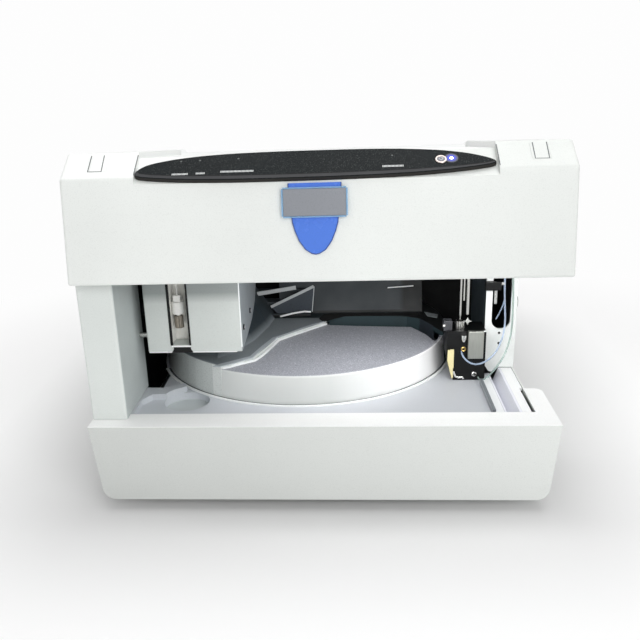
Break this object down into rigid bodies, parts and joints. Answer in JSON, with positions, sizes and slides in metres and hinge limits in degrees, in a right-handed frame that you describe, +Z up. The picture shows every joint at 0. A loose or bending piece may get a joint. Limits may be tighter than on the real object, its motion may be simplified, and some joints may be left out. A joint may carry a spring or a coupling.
{
  "type": "autosampler",
  "caption": "Benchtop liquid autosampler with an open front bay, covered vial carousel, syringe pump, needle tower with tubing, and a curved front door parked up inside the hood.",
  "frame": {"origin": "centre of the whole footprint at the bottom of the feet", "axes": "+X to the right seen from the front, +Y towards the rear, +Z up; the open front faces -Y"},
  "size_m": [0.425, 0.51, 0.33],
  "materials": {
    "shell_white": "satin white paint",
    "tray_grey": "satin light grey plastic",
    "post_grey": "satin light grey plastic",
    "cover_grey": "fine speckled grey plastic",
    "shroud_dark": "fine speckled dark grey plastic",
    "lens_black": "gloss black lens",
    "badge_grey": "satin grey plate",
    "tongue_blue": "gloss blue plastic",
    "steel": "polished stainless steel",
    "black_plastic": "matt black plastic",
    "dark_steel": "dark grey coated steel",
    "white_plastic": "white plastic",
    "beige": "beige plastic",
    "glass": "clear glass",
    "lamp_blue": "blue lamp lens",
    "tube_blue": "clear blue tubing",
    "tube_green": "clear green tubing",
    "board_green": "green circuit board",
    "rubber": "black rubber"
  },
  "bodies": {
    "housing": {"base_fascia": "shell_white", "floor_tray": "tray_grey", "base_pan": "dark_steel", "left_side_panel": "shell_white", "right_side_panel": "shell_white", "left_post": "post_grey", "right_column": "shell_white", "rear_panel": "shell_white", "top_cover": "shell_white", "hood": "shell_white", "status_bar": "lens_black", "status_lamp": "lamp_blue", "badge_plate": "badge_grey", "badge_tongue": "tongue_blue", "door_pivot_left": "dark_steel", "door_pivot_right": "dark_steel", "inner_deck": "dark_steel", "syringe_cover": "post_grey", "syringe_back_plate": "beige", "syringe_barrel": "glass", "syringe_drive": "dark_steel", "spacer_stud": "steel", "carousel_cover": "cover_grey", "carousel_shroud": "shroud_dark", "cooling_well": "dark_steel", "carousel_motor": "dark_steel", "needle_block": "black_plastic", "inject_port": "steel", "valve_block": "steel", "side_strip": "beige", "arm_spindle": "steel", "tubing_blue": "tube_blue", "tubing_green": "tube_green", "tubing_union": "white_plastic", "tubing_clip": "black_plastic", "fan_frame": "black_plastic", "power_inlet": "black_plastic", "power_supply": "steel", "control_board": "board_green", "foot_a": "rubber", "foot_b": "rubber", "foot_c": "rubber", "foot_d": "rubber"},
    "front_door": {"front_door": "shell_white"},
    "carousel": {"carousel_rotor": "black_plastic", "vial_rack_a": "black_plastic", "vial_rack_b": "black_plastic", "vial_rack_c": "black_plastic"},
    "needle_swing_arm": {"needle_arm": "dark_steel", "guide_rod_long": "steel", "guide_rod_short": "steel"},
    "needle_lift": {"needle_carriage": "black_plastic", "needle": "steel"},
    "syringe_plunger": {"syringe_plunger": "white_plastic", "plunger_screw": "black_plastic"},
    "power_button": {"power_button": "steel"},
    "power_switch": {"power_switch": "black_plastic"},
    "cooling_fan": {"fan_rotor": "black_plastic"}
  },
  "joints": [
    {"name": "door_hinge", "type": "hinge", "parent": "housing", "child": "front_door", "pos_m": [0, -0.1006, 0.157], "axis": [1, 0, 0], "range_deg": [0, 47]},
    {"name": "carousel_spin", "type": "hinge", "parent": "housing", "child": "carousel", "pos_m": [-0.023, -0.035, 0.064], "axis": [0, 0, 1], "continuous": true},
    {"name": "needle_arm_swing", "type": "hinge", "parent": "housing", "child": "needle_swing_arm", "pos_m": [0.0375, -0.125, 0.234], "axis": [0, 0, 1], "range_deg": [0, 104]},
    {"name": "needle_drop", "type": "slide", "parent": "needle_swing_arm", "child": "needle_lift", "axis": [0, 0, 1], "range_m": [-0.055, 0]},
    {"name": "plunger_stroke", "type": "slide", "parent": "housing", "child": "syringe_plunger", "axis": [0, 0, 1], "range_m": [-0.012, 0.0155]},
    {"name": "power_button_press", "type": "slide", "parent": "housing", "child": "power_button", "axis": [0, 0.5463, -0.8376], "range_m": [0, 0.0012], "stiffness_N_per_m": 400, "springref_m": -0.001},
    {"name": "power_switch_rock", "type": "hinge", "parent": "housing", "child": "power_switch", "pos_m": [-0.1525, 0.249, 0.11], "axis": [0, 0, 1], "range_deg": [0, 18]},
    {"name": "fan_spin", "type": "hinge", "parent": "housing", "child": "cooling_fan", "pos_m": [0.0875, 0.2374, 0.162], "axis": [0, 1, 0], "continuous": true}
  ]
}
